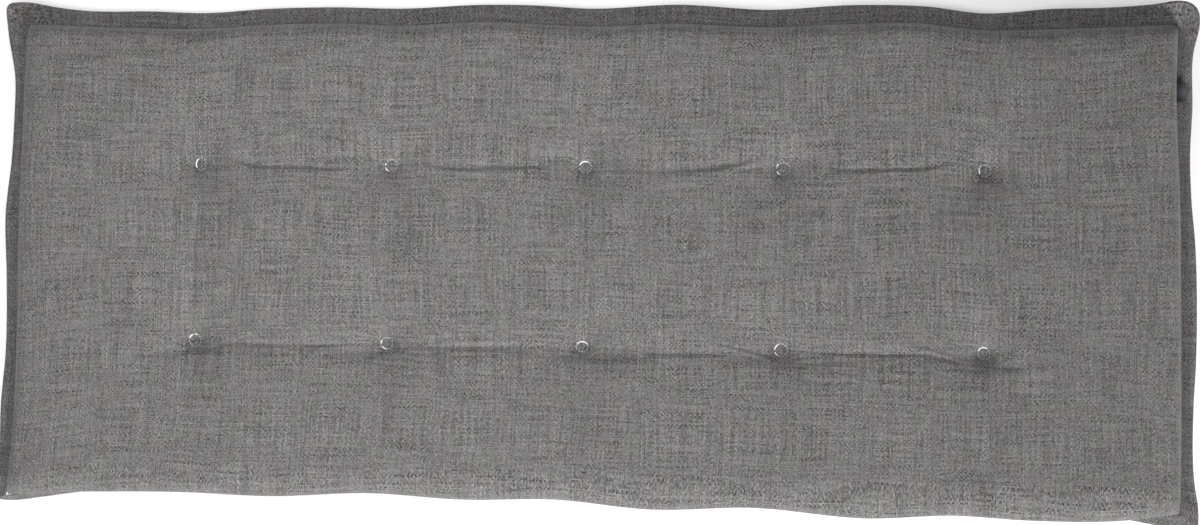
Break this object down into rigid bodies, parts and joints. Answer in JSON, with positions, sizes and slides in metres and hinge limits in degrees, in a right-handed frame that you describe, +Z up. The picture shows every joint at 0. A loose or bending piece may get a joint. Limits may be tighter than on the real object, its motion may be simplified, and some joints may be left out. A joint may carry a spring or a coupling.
{
  "type": "bench cushion",
  "caption": "Long tufted bench cushion in grey woven cloth, with a stitched-off border, ring tacks and a small plain side tab.",
  "frame": {"origin": "middle of the outline, on the surface that the cushion lies on", "axes": "+X along the bench to the end with the tab, +Y to the back edge, +Z up out of the tufted face"},
  "size_m": [1.1042, 0.4703, 0.0529],
  "materials": {
    "woven_cloth": "matte melange weave, mid grey",
    "pale_thread": "matte twisted sewing thread, pale grey",
    "dark_tape": "smooth woven tape, near black"
  },
  "bodies": {
    "root": {"pad": "woven_cloth", "border": "woven_cloth", "tack_back_a": "pale_thread", "tack_back_b": "pale_thread", "tack_back_c": "pale_thread", "tack_back_d": "pale_thread", "tack_back_e": "pale_thread", "tack_front_a": "pale_thread", "tack_front_b": "pale_thread", "tack_front_c": "pale_thread", "tack_front_d": "pale_thread", "tack_front_e": "pale_thread", "side_tab": "dark_tape"}
  },
  "joints": []
}
